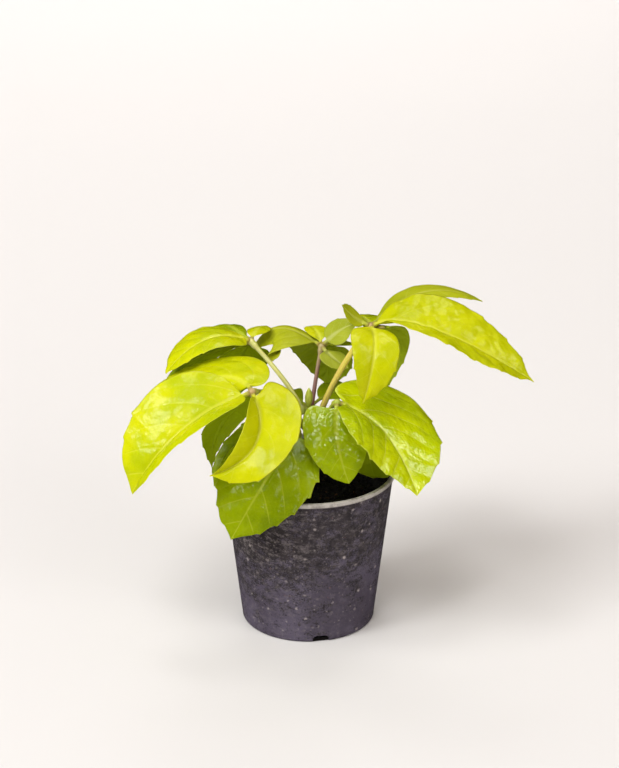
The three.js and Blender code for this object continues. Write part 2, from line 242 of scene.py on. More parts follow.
# Every leaf: its hub, its petiole and its leaflets, whose midribs arc from the hub
# through over to tip, all in mm. face is the heading the upper side leans along, sway
# turns it by the tip, roll lifts the right half, fold lifts both, curl bends margins.
# base, baseRight and point shape the margins, skew widens the right half and a lobe
# reaches back past the stalklet. teeth stand at shares of the blade's length.
leaves = [
    {
        "name": "upper_left", "hub": (-34, 14, 173), "knob": 2.2,
        "petiole": {"foot": 133, "turn": 150, "over": (-14, 6, 151), "radius": 1.5, "look": "young"},
        "leaflets": [
            {
                "over": (-60, 3, 179), "tip": (-84, -7, 161), "width": 35.5, "face": 195, "roll": 2,
                "fold": 10, "curl": -30, "base": 0.28, "baseRight": 0.47, "point": 0.57, "skew": 0.21,
                "lumps": 1.1, "teethLeft": (0.57, 0.765), "teethRight": (0.9,), "look": "lime",
            },
            {
                "over": (-51, 38, 175), "tip": (-63, 55, 160), "width": 22, "fold": -15, "base": 0.9,
                "look": "mid",
            },
            {
                "over": (-31, 30, 175), "tip": (-25, 46, 171), "width": 14, "fold": -15, "base": 1,
                "look": "lime",
            },
            {
                "over": (-42, 26, 155), "tip": (-42, 24, 134), "width": 36, "face": 110, "fold": -15,
                "base": 0.35, "lobeLeft": 4, "look": "dark",
            },
            {
                "over": (-64, 8, 166), "tip": (-84, 4, 154), "width": 20, "fold": -10, "base": 1.2,
                "look": "dark",
            },
        ],
    },
    {
        "name": "front_left", "hub": (-32, -50, 167), "knob": 2.6,
        "petiole": {"foot": 126, "turn": 238, "over": (-18, -25, 153), "radius": 1.6, "look": "fresh"},
        "leaflets": [
            {
                "over": (-71.5, -70.5, 152.5), "tip": (-100.5, -74.5, 114.5), "width": 52.5, "face": 192,
                "roll": 16.5, "fold": 32.5, "curl": -15, "base": 0.43, "baseRight": 0.51, "point": 0.7,
                "skew": 0.2, "stalk": 7, "lumps": 0.8, "teethLeft": (0.5, 0.68, 0.84),
                "teethRight": (0.62, 0.76), "look": "lime",
            },
            {
                "over": (-54, -29, 168), "tip": (-98.5, -35, 153), "width": 58, "face": 125.5, "sway": 42,
                "roll": 28, "fold": -12, "curl": -15, "base": 0.9, "baseRight": 0.61, "point": 0.92,
                "lobeRight": 5, "stalk": 6, "teethLeft": (0.9,), "teethRight": (0.9,), "look": "lime",
            },
            {
                "over": (-29.5, -84.5, 150), "tip": (-55.5, -84.5, 130), "width": 36.5, "face": 259,
                "sway": -17.5, "roll": 31.5, "fold": 38, "curl": -15, "base": 0.47, "baseRight": 0.71,
                "point": 1.1, "skew": -0.31, "lobeLeft": 15.5, "teethLeft": (0.45, 0.68, 0.86),
                "teethRight": (), "look": "yellow",
            },
            {
                "over": (-52, -34.5, 137.5), "tip": (-56, -34.5, 110.5), "width": 27.5, "face": 111.5,
                "roll": 6, "fold": -15, "base": 0.85, "baseRight": 0.56, "point": 1.5, "skew": -0.15,
                "look": "dark",
            },
        ],
    },
    {
        "name": "rim", "hub": (-6, -14, 127), "knob": 2,
        "petiole": {"foot": 105, "turn": 250, "over": (-4, -10, 116), "radius": 1.4, "look": "fresh"},
        "leaflets": [
            {
                "over": (-24, -48, 112), "tip": (-45, -60, 78), "width": 57, "face": 262, "roll": 4,
                "fold": -5, "curl": -10, "point": 0.8, "skew": 0.08,
                "teethLeft": (0.3, 0.425, 0.595, 0.74, 0.86), "teethRight": (0.6, 0.72, 0.83, 0.92),
                "look": "mid",
            },
            {
                "over": (-30, -15, 121), "tip": (-56, -22, 95), "width": 26, "face": 250, "base": 0.9,
                "look": "dark",
            },
            {
                "over": (-24, 4, 116), "tip": (-55, 0, 100), "width": 34, "face": 200, "roll": 30,
                "look": "dark",
            },
        ],
    },
    {
        "name": "front_right", "hub": (17, -22, 149), "knob": 2.2,
        "petiole": {"foot": 114, "turn": 310, "over": (11, -14, 138), "radius": 1.5, "look": "green"},
        "leaflets": [
            {
                "over": (17, -39, 132), "tip": (24, -45, 107), "width": 39, "face": 275, "fold": -5,
                "base": 0.34, "baseRight": 0.25, "point": 0.7, "lobeRight": 4, "lumps": 1.8, "swell": 3.4,
                "drawn": 0.1, "teethLeft": (0.62, 0.86), "teethRight": (0.445, 0.785), "look": "glossy",
            },
            {
                "over": (44.5, -29, 133), "tip": (63.5, -54, 104), "width": 66, "face": -6.5,
                "sway": -57.5, "roll": -1.5, "fold": 13, "curl": -15, "base": 0.57, "baseRight": 0.54,
                "point": 1, "skew": -0.15, "lobeLeft": 12.5, "lobeRight": 9, "lumps": 0.7, "swell": 2.6,
                "drawn": 0.0, "teethLeft": (0.5, 0.66, 0.8, 0.92), "teethRight": (0.4, 0.6, 0.78, 0.93),
                "look": "green",
            },
            {
                "over": (33, -12, 117), "tip": (55, -12, 100), "width": 31, "face": -40, "roll": -20,
                "base": 0.9, "look": "dark",
            },
        ],
    },
    {
        "name": "upper_right", "hub": (37, 0, 188), "knob": 2.5,
        "petiole": {"foot": 123, "turn": 5, "over": (18, 2, 157), "radius": 1.9, "look": "tinged"},
        "leaflets": [
            {
                "over": (71.5, -11, 191.5), "tip": (132, -20.5, 161.5), "width": 45, "face": -19.5,
                "roll": -9, "fold": 22.5, "curl": -15, "base": 0.55, "baseRight": 1.22, "point": 0.94,
                "skew": -0.17, "lumps": 2.6, "teethLeft": (0.58, 0.755, 0.88),
                "teethRight": (0.445, 0.62, 0.79, 0.885), "look": "yellow",
            },
            {
                "over": (69, 31, 198.5), "tip": (105, 38, 190), "width": 22, "face": 17.5, "roll": -5.5,
                "fold": -10, "base": 0.98, "point": 0.75, "skew": -0.2, "look": "olive",
            },
            {
                "over": (38.5, -24.5, 180.5), "tip": (32, -30, 151.5), "width": 29, "face": 271.5,
                "roll": 6, "fold": 16, "curl": -20, "base": 0.55, "baseRight": 0.28, "point": 0.9,
                "lumps": 1.5, "look": "yellow",
            },
            {
                "over": (27, -2.5, 195), "tip": (20, -6, 204), "width": 13, "face": 190, "roll": 30,
                "base": 0.6, "look": "olive",
            },
            {"over": (33, 18, 187), "tip": (26, 34, 182), "width": 18, "look": "green"},
            {
                "over": (49, 13, 174), "tip": (45, 12, 141.5), "width": 31, "face": 60, "roll": 4,
                "fold": 4, "base": 0.25, "baseRight": 0.1, "point": 1, "lobeRight": 8, "look": "mid",
            },
        ],
    },
    {
        "name": "back", "hub": (8, 24, 166), "knob": 2,
        "petiole": {"foot": 127, "turn": 75, "over": (5, 16, 151), "radius": 1.3, "look": "purple"},
        "leaflets": [
            {
                "over": (-19, 41.5, 171), "tip": (-35, 32, 156.5), "width": 50, "face": 180, "roll": -1,
                "fold": -8, "curl": -20, "base": 0.82, "baseRight": 0.44, "point": 0.97, "skew": -0.24,
                "look": "olive",
            },
            {
                "over": (13, 36.5, 158), "tip": (11, 42, 135), "width": 40.5, "face": 74.5, "base": 0.25,
                "baseRight": 0.67, "point": 0.73, "skew": -0.3, "look": "mid",
            },
            {"over": (20, 27, 176), "tip": (30, 28, 179), "width": 20, "face": 50, "look": "pale"},
            {"over": (15, 16, 162), "tip": (24, 12, 157), "width": 20, "look": "pale"},
            {"over": (18, 31, 166), "tip": (29, 38, 162), "width": 14, "look": "green"},
            {"over": (5, 40, 170), "tip": (0, 53, 168), "width": 13, "base": 0.9, "look": "lime"},
        ],
    },
    {
        "name": "low_back", "hub": (0, 18, 128), "knob": 1.9,
        "petiole": {"foot": 104, "turn": 100, "over": (-1, 12, 117), "radius": 1.3, "look": "fresh"},
        "leaflets": [
            {"over": (-14, 34, 131), "tip": (-26, 44, 116), "width": 30, "base": 1.3, "look": "dark"},
            {
                "over": (21, 34, 134), "tip": (39, 45, 121), "width": 32, "base": 0.7, "stalk": 10,
                "look": "dark",
            },
        ],
    },
]


class Arc:
    # a quadratic arc through its middle point, measured by its own length

    def __init__(self, start, over, end):
        self.start, self.end = np.array(start, float), np.array(end, float)
        self.bend = 2 * np.array(over, float) - (self.start + self.end) / 2
        self.steps = np.linspace(0, 1, 401)
        points = self.at(self.steps)
        self.run = np.concatenate([[0], np.cumsum(np.linalg.norm(np.diff(points, axis=0), axis=1))])
        self.length = self.run[-1]

    def at(self, t):
        t = np.asarray(t, float)[:, None]
        return (1 - t) ** 2 * self.start + 2 * t * (1 - t) * self.bend + t * t * self.end

    def along(self, share):
        t = np.interp(np.asarray(share) * self.length, self.run, self.steps)
        tangent = 2 * (1 - t)[:, None] * (self.bend - self.start) + 2 * t[:, None] * (self.end - self.bend)
        return self.at(t), tangent / np.linalg.norm(tangent, axis=1)[:, None]


def smooth(a, b, x):
    s = np.clip((x - a) / (b - a), 0, 1)
    return s * s * (3 - 2 * s)


def outline(v, base, point, drawn):
    # half width along the midrib, drawn in a little before the tip
    widest = base / (base + point)
    v = np.clip(v, 1e-6, 1 - 1e-6)
    return (v / widest) ** base * ((1 - v) / (1 - widest)) ** point * (1 - drawn * smooth(0.88, 1.0, v))


def waves(x, y, size, seed):
    # smooth noise from -1 to 1 over points in mm
    out = np.empty(x.size)
    flatX, flatY = x.ravel() / size, y.ravel() / size
    for i in range(x.size):
        out[i] = noise.noise((flatX[i], flatY[i], seed * 7.31))
    return out.reshape(x.shape)


def toothed(v, teeth, depth):
    # forward-pointing teeth: the margin swells up to each one and drops sharply behind it
    rise, drop = 0.09, 0.008
    out = np.zeros_like(v)
    for at in teeth:
        swell = np.clip((v - at + rise) / rise, 0, 1) ** 1.7 * np.clip((at - v) / drop + 1, 0, 1)
        out = np.maximum(out, swell * (1.15 - 0.5 * at))
    return depth * out


# The blade in mm: its grid, its thickness, the stalklet, the side veins and the relief,
# where each pair is a height and a width, and the last number orders the noise.
blade = {
    "step": 0.62, "stalkRows": 8, "halfThick": 0.22, "stalkLength": 5.0, "stalkRadius": 0.95,
    "inKnob": 0.3, "leastGap": 5.0, "veinGaps": 4.8, "veinSlope": 0.75, "veinBow": 0.019, "joint": (0.6, 2.2),
    "groove": (0.6, 1.3), "sunkVein": (0.3, 0.9), "field": 0.5, "rib": (1.1, 0.75), "sideRib": (0.25, 0.5),
    "margin": (0.6, 11.0, 20), "swell": (0.9, 17.0, 0), "lumps": (0.65, 6.5, 60), "grain": (0.16, 2.6, 40),
}


def ridge(distance, size):
    # a rounded ridge of the height and width in size
    return size[0] * np.exp(-(distance / size[1]) ** 2)


def makeLeaflet(leaf, leaflet, name, seed):
    get, look, width = leaflet.get, leafLooks[leaflet["look"]], leaflet["width"]
    arc = Arc(leaf["hub"], leaflet["over"], leaflet["tip"])
    stalk, stalkRadius = get("stalk", blade["stalkLength"]), blade["stalkRadius"]
    startAt, bladeAt = (leaf["knob"] - blade["inKnob"]) / arc.length, stalk / arc.length
    bladeLength = arc.length - stalk

    # v runs along the blade, u along the whole midrib, t from the left margin to the right
    rows = max(24, int(bladeLength / blade["step"]))
    columns = max(12, int(width / blade["step"] / 2)) * 2 + 1
    s = np.linspace(0, 1, rows)
    v = 0.6 * s + 0.4 * (1 - np.cos(math.pi * s)) / 2
    stalkRun = np.linspace(startAt, bladeAt, blade["stalkRows"], endpoint=False)
    u = np.concatenate([stalkRun, bladeAt + (1 - bladeAt) * v])
    v = np.concatenate([0 * stalkRun, v])
    t = np.linspace(-1, 1, columns)
    isRight, off = t > 0, np.abs(t)

    # directions along, across and out of the blade
    centre, ahead = arc.along(u)
    toTip = arc.end - arc.start
    face = get("face", math.degrees(math.atan2(toTip[1], toTip[0])))
    heading = np.radians(face + get("sway", 0) * u)
    side = np.stack([np.sin(heading), -np.cos(heading), 0 * u], 1)
    side -= ahead * np.sum(side * ahead, axis=1)[:, None]
    side /= np.linalg.norm(side, axis=1)[:, None]
    up = np.cross(side, ahead)
    tilt = math.radians(get("roll", 0))
    right = side * math.cos(tilt) + up * math.sin(tilt)
    normal = up * math.cos(tilt) - side * math.sin(tilt)

    # margins with their teeth, then each point's place across and along in mm
    skew, base = get("skew", 0), get("base", 0.5)
    wander = 0.18 * noise.noise((seed * 3.7, 0.0, 1.3))
    halves = []
    for share, ownBase, teeth in (
        (1 - skew, base, get("teethLeft", (0.56 + wander * 0.2, 0.74, 0.88))),
        (1 + skew, get("baseRight", base), get("teethRight", (0.62, 0.79 + wander * 0.1, 0.91))),
    ):
        half = width / 2 * share * outline(v, ownBase, get("point", 0.8), get("drawn", 0.4))
        half = np.maximum(stalkRadius * (1 - 0.75 * v), half) + toothed(v, teeth, 0.03 * width + 0.3)
        halves.append(half[:, None])
    reach = np.where(isRight, halves[1], halves[0]) * off
    x = reach * np.sign(t)
    y = np.repeat(v[:, None] * bladeLength, columns, axis=1)
    flat = np.ones_like(x)

    # side veins leave the midrib forward and bow towards the tip
    gap = max(blade["leastGap"], bladeLength / blade["veinGaps"])
    phase = (y - blade["veinSlope"] * reach - blade["veinBow"] * reach ** 2) / gap
    phase += np.where(isRight, 0.0, 0.38 + wander)
    offVein = np.abs(phase - np.round(phase)) * gap * 0.8

    def along(vectors, amounts):
        return vectors[:, None, :] * amounts[..., None]

    lift = np.radians(get("fold", 0) + get("curl", 0) * off / 2) * flat
    lobe = np.where(isRight, get("lobeRight", 0), get("lobeLeft", 0)) * t ** 2
    sweep = (1 - np.exp(-v / 0.012)) * np.exp(-5 * v)
    places = centre[:, None, :] - along(ahead, sweep[:, None] * lobe)
    places += along(right, x * np.cos(lift)) + along(normal, reach * np.sin(lift))
    leaning = lift * smooth(0, 0.12, off)
    local = along(normal, np.cos(leaning)) - along(right, np.sin(leaning) * np.sign(t))

    # relief: groove, sunk side veins, puffed fields between them, wavy margins and lumps
    small = min(1.0, width / 40)
    inner = smooth(0.0, 2.5, reach)
    lumps = look["lumps"] * get("lumps", 1.0)
    field = np.sin(np.pi * (phase - np.floor(phase))) ** 2 * np.sin(np.pi * off) ** 0.8
    relief = -ridge(reach, blade["groove"]) * (1 - 0.6 * v[:, None])
    relief += small * look["veins"] * inner * (blade["field"] * field - ridge(offVein, blade["sunkVein"]))
    for key, where, weight in (
        ("margin", np.where(isRight, 9.0, 0.0) * flat, t ** 4),
        ("swell", x, get("swell", 1.0) * (0.3 + t ** 2)), ("lumps", x, lumps * inner), ("grain", x, lumps),
    ):
        height, size, order = blade[key]
        relief += small * height * weight * waves(where, y, size, seed + order)
    relief *= smooth(0.0, 0.08, v)[:, None]

    # thickness: a thin lens with ribs below, which rounds into the stalklet
    onStalk = 1 - smooth(0.0, 0.05, v)[:, None]
    swell = ridge((u - startAt) * arc.length, blade["joint"])[:, None]
    thick = stalkRadius * (1 + swell) * onStalk + blade["halfThick"] * (1 - onStalk)
    thick = thick * np.sqrt(np.clip(1 - t ** 2, 0, 1))
    ribs = stalkRadius * (1 - v[:, None]) ** 0.8 * ridge(reach, blade["rib"])
    ribs += inner * (1 - off) * ridge(offVein, blade["sideRib"])
    places += along(right, x * swell * onStalk)
    upper = places + local * (relief + thick)[..., None]
    lower = places + local * (relief - thick - ribs * (1 - onStalk))[..., None]

    # each ring runs over the upper side and back along the lower one
    def ringed(above, below):
        return np.concatenate([above, below[:, columns - 2:0:-1]], axis=1)

    rings = ringed(upper, lower)
    faces = tubeFaces(len(u), rings.shape[1])
    thing = toMesh(name, (rings.reshape(-1, 3) * mm).tolist(), faces, leafMaterials[leaflet["look"]])
    outward(thing)
    run = np.where(v > 0, v, (u - bladeAt) / (bladeAt - startAt))[:, None]
    place = np.stack([x, y, phase], -1)
    topShare = np.stack([off * flat, run * flat, 0 * flat], -1)
    paint(thing, "leafPlace", ringed(place, place))
    paint(thing, "leafShare", ringed(topShare, topShare + (0, 0, 1)))
    hand(thing, slotOf[name], name)


stalkLooks = {
    "fresh": {"skin": "#C6C650", "shade": "#A8AC3A", "hub": "#B4945E", "foot": "#8C9632", "jointAt": 0.9},
    "green": {"skin": "#B8BE44", "shade": "#98A234", "hub": "#A4AE3C", "foot": "#8C9632", "jointAt": 0.9},
    "young": {"skin": "#E2DE92", "shade": "#C9CA62", "hub": "#C8BC74", "foot": "#8C9632", "jointAt": 0.9},
    "tinged": {"skin": "#E6D858", "shade": "#C4A85C", "hub": "#A88A62", "foot": "#8C8A32", "jointAt": 0.93},
    "purple": {"skin": "#7C4D52", "shade": "#8C6A58", "hub": "#B0A06A", "foot": "#7A6A3A", "jointAt": 0.45},
    "stem": {"skin": "#8F9A2C", "shade": "#6F7A2A", "hub": "#9FA63A", "foot": "#6A5A34", "jointAt": 0.9},
    "bud": {"skin": "#C9D055", "shade": "#AEB83C", "hub": "#D6D96E", "foot": "#A7B23A", "jointAt": 0.8},
}


def stalkMaterial(name, look):
    # Green leaf stalk with a thin smooth cuticle: satin, finely streaked along its length,
    # warmer at the hub's joint.
    material, add = newMaterial(name)
    share = add("Attribute", attribute_name="stalkShare").outputs["Vector"]
    toHub = add("SeparateXYZ", (share,)).outputs["X"]
    solid = add("TexCoord").outputs["Object"]
    streakPlace = add("VectorMath", (share, (1, 9, 0)), **times)
    streaks = add("TexNoise", {"Vector": streakPlace, "Scale": 2.2, "Detail": 2})
    freckles, pores = (
        add("TexNoise", {
            "Vector": solid, "Scale": 1 / (size * mm), "Detail": detail, "Roughness": 0.55,
        }) for size, detail in ((0.9, 2), (0.8, 3))
    )
    colour = linear(look["skin"])
    for span, over in (
        ((streaks, 0.35, 0.65), "shade"), ((toHub, look["jointAt"], 0.99), "hub"),
        ((toHub, 0, 0.3, 0.6, 0), "foot"), ((freckles, 0.62, 0.72, 0, 0.35), "shade"),
    ):
        amount = add("MapRange", span, **soft)
        colour = add("Mix", {0: amount, 6: colour, 7: linear(look[over])}, **colours)
    surface = {}
    for height, depth in ((streaks, 0.06), (pores, 0.05)):
        surface = {"Normal": add("Bump", {"Height": height, "Distance": depth * mm, **surface})}
    body = add("BsdfPrincipled", {
        "Base Color": colour, "Roughness": 0.42, "IOR": 1.45, "Subsurface Weight": 0.08,
        "Subsurface Scale": 2 * mm, **surface,
    })
    add("OutputMaterial", (body,))
    return material


def sweepTube(name, centre, ahead, radii, sizes, material, seed):
    # a closed tube along given points, with its own share attribute
    count, sides, ridges = len(centre), sizes["sides"], sizes["ridges"]
    turn = np.linspace(0, 2 * math.pi, sides, endpoint=False)
    side = np.cross(ahead[0], (0.3, 0.9, 0.1))
    side /= np.linalg.norm(side)
    places = np.empty((count, sides, 3))
    for i in range(count):
        side = side - ahead[i] * np.dot(side, ahead[i])
        side /= np.linalg.norm(side)
        other = np.cross(ahead[i], side)
        r = radii[i] * (1 + ridges * (0.5 * np.cos(5 * turn) + 0.3 * np.cos(3 * turn + seed)))
        places[i] = centre[i] + side * (r * np.cos(turn))[:, None] + other * (r * np.sin(turn))[:, None]
    thing = toMesh(name, (places.reshape(-1, 3) * mm).tolist(), tubeFaces(count, sides), material)
    outward(thing)
    share = np.zeros((count, sides, 3))
    share[..., 0] = np.linspace(0, 1, count)[:, None]
    share[..., 1] = np.abs(np.sin(turn / 2))
    paint(thing, "stalkShare", share)
    hand(thing, slotOf[name], name)


stem = {
    "foot": 62, "soil": 85, "middle": 112, "top": 137, "footRadius": 3.4, "middleRadius": 2.9,
    "topRadius": 2.4, "ring": (0.4, 1.2), "rows": 150, "sides": 40, "ridges": 0.03,
}
bud = {"foot": 137.3, "length": 12, "radius": 2.2, "rows": 46, "sides": 32, "ridges": 0.12}
petiole = {
    "seat": 1.6, "back": 1.3, "footRadius": 2.6, "footReach": 3.6, "neck": (0.55, 1.8), "taper": 0.12,
    "leastRadius": 0.05, "rows": 90, "sides": 28, "ridges": 0.04,
}


def makePetiole(leaf, seed):
    sizes, knob, back, least = leaf["petiole"], leaf["knob"], petiole["back"], petiole["leastRadius"]
    heading = math.radians(sizes["turn"])
    seat = stem["topRadius"] + petiole["seat"]
    start = (math.cos(heading) * seat, math.sin(heading) * seat, sizes["foot"])
    arc = Arc(start, sizes["over"], leaf["hub"])
    # the foot reaches back to the stem's skin and the far end closes over the hub's knob
    s = np.linspace(0, 1, petiole["rows"])
    distance = -back + (arc.length + back + knob) * (0.5 * s + 0.5 * (1 - np.cos(math.pi * s)) / 2)
    inside = np.clip(distance / arc.length, 0, 1)
    centre, ahead = arc.along(inside)
    centre = centre + ahead * (distance - inside * arc.length)[:, None]
    toHub = distance - arc.length
    radius = sizes["radius"] * (1 - petiole["taper"] * inside)
    footward = ((distance - 0.2) / petiole["footReach"]) ** 2
    foot = petiole["footRadius"] * np.sqrt(np.clip(1 - footward, 0.25 * (distance < 1), 1))
    ball = np.sqrt(np.clip(knob ** 2 - toHub ** 2, 0, None))
    neck = sizes["radius"] * ridge(toHub + knob * 1.2, petiole["neck"])
    blend = 5  # a high power keeps the stalk, foot and knob apart, with a short fillet
    radii = ((radius + neck) ** blend * (toHub < 0) + foot ** blend + ball ** blend) ** (1 / blend)
    radii = np.maximum(radii, least)
    radii[-1] = least
    look = stalkMaterials[sizes["look"]]
    sweepTube(leaf["name"] + "_petiole", centre, ahead, radii, petiole, look, seed)


def makeStem():
    z = np.linspace(stem["foot"], stem["top"], stem["rows"])
    heights = [stem["foot"], stem["soil"], stem["middle"], stem["top"]]
    foot, middle, top = stem["footRadius"], stem["middleRadius"], stem["topRadius"]
    radii = np.interp(z, heights, [foot, foot, middle, top])
    # a swollen ring under each petiole, where its leaf is set on
    for leaf in leaves:
        radii += ridge(z - leaf["petiole"]["foot"] + 2, stem["ring"])
    centre = np.stack([0 * z, 0 * z, z], 1)
    ahead = np.repeat([[0.0, 0.0, 1.0]], len(z), axis=0)
    sweepTube("stem", centre, ahead, radii, stem, stalkMaterials["stem"], 2.0)


def makeBud():
    # two folded young leaves, pressed together into a slim point
    s = np.linspace(0, 1, bud["rows"])
    radii = bud["radius"] * (np.sin(math.pi * np.clip(s * 0.86 + 0.14, 0, 1)) ** 0.8) + 0.05
    centre = np.stack([0.5 * np.sin(2.2 * s), 0 * s, bud["foot"] + bud["length"] * s], 1)
    ahead = np.gradient(centre, axis=0)
    ahead /= np.linalg.norm(ahead, axis=1)[:, None]
    sweepTube("apex_bud", centre, ahead, radii, bud, stalkMaterials["bud"], 1.0)


leafMaterials = {key: leafMaterial("waxy_leaf_" + key, look) for key, look in leafLooks.items()}
stalkMaterials = {key: stalkMaterial("leaf_stalk_" + key, look) for key, look in stalkLooks.items()}

makeStem()
makeBud()
for number, leaf in enumerate(leaves):
    makePetiole(leaf, number * 1.7)
    for i, leaflet in enumerate(leaf["leaflets"]):
        makeLeaflet(leaf, leaflet, f"{leaf['name']}_leaflet_{i + 1}", number * 11 + i + 1)
    print("leaf", leaf["name"])

pot = {
    "height": 97, "rimRadius": 52.5, "baseRadius": 40.3, "wall": 1.4, "floor": 1.6, "lipHeight": 3,
    "lipStandOut": 0.9, "lipRadius": 0.65, "corner": 1.8, "notches": 3, "notchWidth": 10,
    "notchHeight": 4.4, "notchReach": 1.7, "firstNotch": 11, "holes": 6, "holeRadius": 3,
    "holeRing": 22, "sides": 240,
}
# rim is a pair of pale tones that paint a highlight on the rim's top
potColours = {
    "plastic": ("#5B5364", "#4E4654"), "worn": "#736A79", "dirt": ("#211A1A", "#3A3233"), "lime": "#968C8C",
    # inside is painted shade: near-black for the notches and the pot's inner wall
    "speck": "#BCB0AE", "rust": "#7A564E", "rim": ("#CEC8C0", "#9C958D"), "inside": "#17110F",
}


def wallRadius(z):
    share = (z - pot["corner"]) / (pot["height"] - pot["corner"])
    return pot["baseRadius"] + share * (pot["rimRadius"] - pot["lipStandOut"] - pot["baseRadius"])


def potMaterial():
    # Recycled polypropylene nursery pot, moulded matt, outdoors for years: slate grey with a
    # purple cast, dried soil smeared over its upper part, lime specks and a painted highlight on the rim.
    material, add = newMaterial("weathered_polypropylene")
    solid = add("TexCoord").outputs["Object"]
    x, y, height = add("SeparateXYZ", (solid,)).outputs
    squat = add("Mapping", {"Vector": solid, "Scale": (1, 1, 1.7)})
    # where each pattern lies, its size in mm, its detail and how rough it is
    patterns = {
        "broad": (solid, 34, 3, 0.55), "fine": (solid, 5, 7, 0.72), "grit": (solid, 1.1, 4, 0.7),
        "smear": (squat, 13, 9, 0.8), "film": (squat, 5, 9, 0.85), "rust": (solid, 3.4, 3, 0.55),
        "shake": (solid, 0.9, 2, 0.5),
    }
    noises = {
        key: add("TexNoise", {
            "Vector": where, "Scale": 1 / (size * mm), "Detail": detail, "Roughness": rough,
        }) for key, (where, size, detail, rough) in patterns.items()
    }
    # two-toned plastic, dirt and rim
    toned = {}
    for key, span in (
        ("plastic", (noises["broad"], 0.38, 0.62)), ("dirt", (noises["fine"], 0.4, 0.62)),
        ("rim", (noises["fine"], 0.4, 0.65)),
    ):
        one, other = potColours[key]
        amount = add("MapRange", span, **soft)
        toned[key] = add("Mix", {0: amount, 6: linear(one), 7: linear(other)}, **colours)
    worn = add("MapRange", (noises["fine"], 0.5, 0.72, 0, 0.4), **soft)

    # dried soil film: ragged and crowded high on the wall, thin below
    level = add("MapRange", (height, 0.012, 0.076, -0.085, 0.085), **soft)
    leftward = add("MapRange", (x, -0.045, 0.035, 0.03, -0.03), **soft)
    ragged = add("Math", (noises["grit"], 0.5, -0.25), operation="MULTIPLY_ADD")
    amount = noises["smear"]
    for part in (level, leftward, ragged):
        amount = add("Math", (amount, part), operation="ADD")
    dirt = add("MapRange", (amount, 0.42, 0.58), **soft)

    # lime left by hard water: a thin chalky film, and grains of it with ragged edges
    film = add("MapRange", (noises["film"], 0.49, 0.62), **soft)
    filmHigh = add("MapRange", (height, 0.030, 0.075, 0.25, 0.68), **soft)
    filmLeft = add("MapRange", (x, -0.045, 0.02, 1, 0.42), **soft)
    filmShare = add("Math", (filmHigh, filmLeft), **times)
    layers = [(worn, 1, potColours["worn"]), (dirt, 0.9, toned["dirt"])]
    layers.append((film, filmShare, potColours["lime"]))
    shake = noises["shake"].outputs["Color"]
    shift = add("VectorMath", {0: shake, "Scale": 1.6 * mm}, operation="SCALE")
    shaken = add("VectorMath", (solid, shift), operation="ADD")
    for size, low, high, rare, strength in (
        (2.4, 0.10, 0.34, 0.6, 0.35), (5.5, 0.06, 0.24, 0.5, 0.65), (11.0, 0.04, 0.16, 0.3, 0.75),
    ):
        chalk = add("TexVoronoi", {"Vector": shaken, "Scale": 1 / (size * mm)})
        chosen = add("SeparateXYZ", (chalk.outputs["Color"],)).outputs["X"]
        grain = add("MapRange", (chalk, low, high, 1, 0), **soft)
        kept = add("MapRange", (chosen, rare, 1), **soft)
        layers.append((add("Math", (grain, kept), **times), strength, potColours["speck"]))
    layers.append((add("MapRange", (noises["rust"], 0.68, 0.76), **soft), 0.45, potColours["rust"]))
    # painted highlight: the rim's top is painted pale where it catches the light
    rim = add("MapRange", (height, 0.0940, 0.0950), **soft)
    layers.append((rim, 0.85, toned["rim"]))

    # painted shade: near-black inside the foot's notches and on the pot's inner wall, where little light
    # reaches
    outOf = add("VectorMath", (add("CombineXYZ", (x, y)),), operation="LENGTH")
    radii = (pot["baseRadius"] * mm, (pot["rimRadius"] - pot["lipStandOut"]) * mm)
    wallAt = add("MapRange", (height, pot["corner"] * mm, pot["height"] * mm, *radii))
    depth = add("Math", (wallAt, outOf), operation="SUBTRACT")
    hollowShade = add("MapRange", (depth, 0.0007, 0.0011), **soft)
    aboveFoot = add("Math", (height, 0.0001), operation="GREATER_THAN")
    inside = add("Math", (hollowShade, aboveFoot), **times)
    belowRim = add("Math", (1, rim), operation="SUBTRACT")
    layers.append((inside, belowRim, potColours["inside"]))

    colour = toned["plastic"]
    for share, strength, over in layers:
        amount = add("Math", (share, strength), **times)
        over = linear(over) if isinstance(over, str) else over
        colour = add("Mix", {0: amount, 6: colour, 7: over}, **colours)
    surface = {}
    for bumps, high in ((noises["fine"], 0.12), (dirt, 0.12), (noises["grit"], 0.05)):
        surface = {"Normal": add("Bump", {"Height": bumps, "Distance": high * mm, **surface})}
    rough = add("MapRange", (dirt, 0, 1, 0.48, 0.85), **soft)
    body = add("BsdfPrincipled", {"Base Color": colour, "Roughness": rough, "IOR": 1.49, **surface})
    add("OutputMaterial", (body,))
    return material


def turned(name, profile, sides, material):
    # a closed solid of revolution from a profile that starts and ends on the axis
    places, faces, rings = [], [], []
    for r, z in profile:
        if r < 1e-6:
            rings.append([len(places)])
            places.append((0, 0, z * mm))
        else:
            rings.append(list(range(len(places), len(places) + sides)))
            places += [(r * mm * math.cos(a), r * mm * math.sin(a), z * mm)
                       for a in np.linspace(0, 2 * math.pi, sides, endpoint=False)]
    for low, high in zip(rings, rings[1:]):
        for i in range(sides):
            j = (i + 1) % sides
            if len(low) == 1:
                faces.append((low[0], high[i], high[j]))
            elif len(high) == 1:
                faces.append((low[i], low[j], high[0]))
            else:
                faces.append((low[i], low[j], high[j], high[i]))
    thing = toMesh(name, places, faces, material)
    outward(thing)
    return thing


def rounded(cx, cz, radius, startDeg, endDeg, steps=6):
    turns = np.radians(np.linspace(startDeg, endDeg, steps + 1))
    return [(cx + radius * math.cos(a), cz + radius * math.sin(a)) for a in turns]


